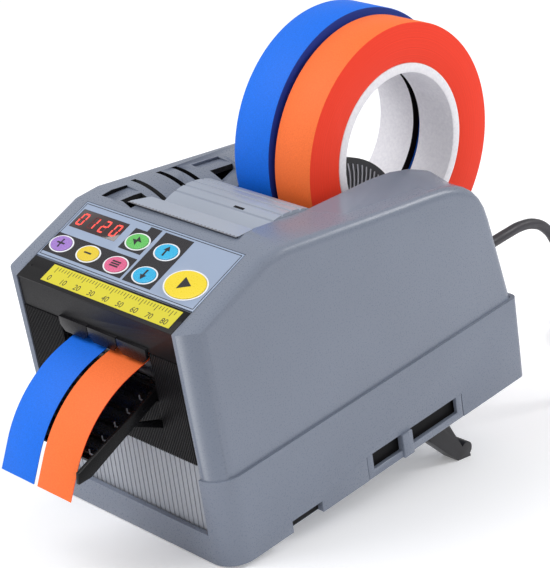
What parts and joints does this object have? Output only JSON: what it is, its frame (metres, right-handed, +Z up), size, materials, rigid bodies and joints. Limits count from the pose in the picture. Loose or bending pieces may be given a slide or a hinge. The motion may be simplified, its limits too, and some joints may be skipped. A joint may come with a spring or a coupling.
{
  "type": "electric tape dispenser",
  "caption": "Counter-top electric tape dispenser: sloped key panel, hinged roller cover, powered feed and cutter, two tape rolls on rollers, outlet tray and folding rear legs.",
  "frame": {"origin": "on the ground, in the middle of the footprint of the machine with its rolls and strips", "axes": "+Z up, +Y from the outlet towards the rolls, +X to the right of a person facing the outlet's back"},
  "size_m": [0.139, 0.4844, 0.2286],
  "materials": {
    "casing_grey": "satin moulded ABS",
    "light_grey": "satin moulded ABS",
    "panel_black": "semi-gloss black ABS",
    "overlay_blue_grey": "printed polyester film",
    "display_red": "smoked red window",
    "white_plastic": "natural nylon",
    "board_green": "solder mask on laminate",
    "purple_key": "gloss key cap",
    "yellow_key": "gloss key cap",
    "pink_key": "gloss key cap",
    "green_key": "gloss key cap",
    "cyan_key": "gloss key cap",
    "steel": "brushed",
    "rubber": "matt rubber",
    "brass": "machined",
    "motor_can": "zinc plated can",
    "guide_grey": "moulded",
    "tape_blue": "crepe paper tape",
    "tape_orange": "crepe paper tape",
    "core_card": "white card core",
    "cord_dark": "PVC cord sheath"
  },
  "bodies": {
    "machine": {"base_tub": "casing_grey", "upper_casing": "casing_grey", "side_latches": "casing_grey", "ribbed_apron": "light_grey", "front_panel": "panel_black", "outlet_tray": "panel_black", "key_switches": "panel_black", "power_unit": "panel_black", "cord_gland": "panel_black", "cord_tie": "panel_black", "mains_plug": "panel_black", "control_overlay": "overlay_blue_grey", "display_window": "display_red", "display_module": "white_plastic", "control_board": "board_green", "main_board": "board_green", "left_frame_plate": "steel", "right_frame_plate": "steel", "guide_plate": "steel", "fixed_blade": "steel", "motor_bracket": "steel", "leg_pins": "steel", "casing_screws": "steel", "front_feet": "rubber", "feed_motor": "motor_can", "cutter_motor": "motor_can", "left_side_guide": "guide_grey", "right_side_guide": "guide_grey", "tape_separator": "guide_grey", "blue_strip": "tape_blue", "blue_web": "tape_blue", "orange_strip": "tape_orange", "orange_web": "tape_orange", "supply_cord": "cord_dark", "cord_coil": "cord_dark"},
    "flap": {"safety_flap": "panel_black"},
    "cover": {"roller_cover": "light_grey"},
    "pressure": {"pressure_roller": "rubber", "pressure_axle": "steel"},
    "feed_drive": {"feed_roller": "rubber", "feed_shaft": "steel", "feed_gear": "white_plastic"},
    "pinion": {"feed_pinion": "brass"},
    "blade": {"moving_blade": "steel"},
    "crank": {"cutter_crank": "brass"},
    "front_roller": {"front_support_roller": "rubber"},
    "rear_roller": {"rear_support_roller": "rubber"},
    "blue_roll": {"blue_tape": "tape_blue", "blue_core": "core_card"},
    "orange_roll": {"orange_tape": "tape_orange", "orange_core": "core_card"},
    "leg_left": {"left_leg": "panel_black"},
    "leg_right": {"right_leg": "panel_black"},
    "plus_key": {"plus_button": "purple_key"},
    "minus_key": {"minus_button": "yellow_key"},
    "set_key": {"set_button": "pink_key"},
    "mode_key": {"mode_button": "green_key"},
    "up_key": {"up_button": "cyan_key"},
    "down_key": {"down_button": "cyan_key"},
    "start_key": {"start_button": "yellow_key"}
  },
  "joints": [
    {"name": "cover_hinge", "type": "hinge", "parent": "machine", "child": "cover", "pos_m": [0.004, -0.02911, 0.13647], "axis": [1, 0, 0], "range_deg": [0, 50]},
    {"name": "flap_hinge", "type": "hinge", "parent": "machine", "child": "flap", "pos_m": [0, -0.0916, 0.12054], "axis": [-1, 0, 0], "range_deg": [0, 70]},
    {"name": "feed_spin", "type": "hinge", "parent": "machine", "child": "feed_drive", "pos_m": [0.004, -0.01377, 0.11877], "axis": [1, 0, 0], "continuous": true},
    {"name": "pinion_spin", "type": "hinge", "parent": "machine", "child": "pinion", "pos_m": [-0.036, 0.00257, 0.10119], "axis": [1, 0, 0], "continuous": true},
    {"name": "pressure_spin", "type": "hinge", "parent": "cover", "child": "pressure", "pos_m": [0.004, -0.01744, 0.1368], "axis": [1, 0, 0], "continuous": true},
    {"name": "crank_turn", "type": "hinge", "parent": "machine", "child": "crank", "pos_m": [0.004, -0.07441, 0.07827], "axis": [0, -0.9799, -0.1994], "range_deg": [-24.15, 0]},
    {"name": "blade_slide", "type": "slide", "parent": "machine", "child": "blade", "axis": [0, -0.1994, 0.9799], "range_m": [-0.005, 0]},
    {"name": "front_roller_spin", "type": "hinge", "parent": "machine", "child": "front_roller", "pos_m": [0.004, 0.05282, 0.09647], "axis": [1, 0, 0], "continuous": true},
    {"name": "rear_roller_spin", "type": "hinge", "parent": "machine", "child": "rear_roller", "pos_m": [0.004, 0.08852, 0.09554], "axis": [1, 0, 0], "continuous": true},
    {"name": "blue_roll_spin", "type": "hinge", "parent": "machine", "child": "blue_roll", "pos_m": [-0.0086, 0.07246, 0.16429], "axis": [1, 0, 0], "continuous": true},
    {"name": "orange_roll_spin", "type": "hinge", "parent": "machine", "child": "orange_roll", "pos_m": [0.0166, 0.07241, 0.16263], "axis": [1, 0, 0], "continuous": true},
    {"name": "left_leg_fold", "type": "hinge", "parent": "machine", "child": "leg_left", "pos_m": [-0.05, 0.06958, 0.03511], "axis": [1, 0, 0], "range_deg": [-115, 0]},
    {"name": "right_leg_fold", "type": "hinge", "parent": "machine", "child": "leg_right", "pos_m": [0.05, 0.06958, 0.03511], "axis": [1, 0, 0], "range_deg": [-115, 0]},
    {"name": "plus_press", "type": "slide", "parent": "machine", "child": "plus_key", "axis": [0, 0.518, -0.8554], "range_m": [0, 0.0005], "stiffness_N_per_m": 600, "springref_m": -0.0001},
    {"name": "minus_press", "type": "slide", "parent": "machine", "child": "minus_key", "axis": [0, 0.518, -0.8554], "range_m": [0, 0.0005], "stiffness_N_per_m": 600, "springref_m": -0.0001},
    {"name": "set_press", "type": "slide", "parent": "machine", "child": "set_key", "axis": [0, 0.518, -0.8554], "range_m": [0, 0.0005], "stiffness_N_per_m": 600, "springref_m": -0.0001},
    {"name": "mode_press", "type": "slide", "parent": "machine", "child": "mode_key", "axis": [0, 0.518, -0.8554], "range_m": [0, 0.0005], "stiffness_N_per_m": 600, "springref_m": -0.0001},
    {"name": "up_press", "type": "slide", "parent": "machine", "child": "up_key", "axis": [0, 0.518, -0.8554], "range_m": [0, 0.0005], "stiffness_N_per_m": 600, "springref_m": -0.0001},
    {"name": "down_press", "type": "slide", "parent": "machine", "child": "down_key", "axis": [0, 0.518, -0.8554], "range_m": [0, 0.0005], "stiffness_N_per_m": 600, "springref_m": -0.0001},
    {"name": "start_press", "type": "slide", "parent": "machine", "child": "start_key", "axis": [0, 0.518, -0.8554], "range_m": [0, 0.0005], "stiffness_N_per_m": 600, "springref_m": -0.0001}
  ],
  "couplings": [
    {"joint": "pinion_spin", "follows": "feed_spin", "ratio": -3},
    {"joint": "pressure_spin", "follows": "feed_spin", "ratio": -1.3333},
    {"joint": "crank_turn", "follows": "blade_slide", "rad_per_m": 83.948}
  ]
}
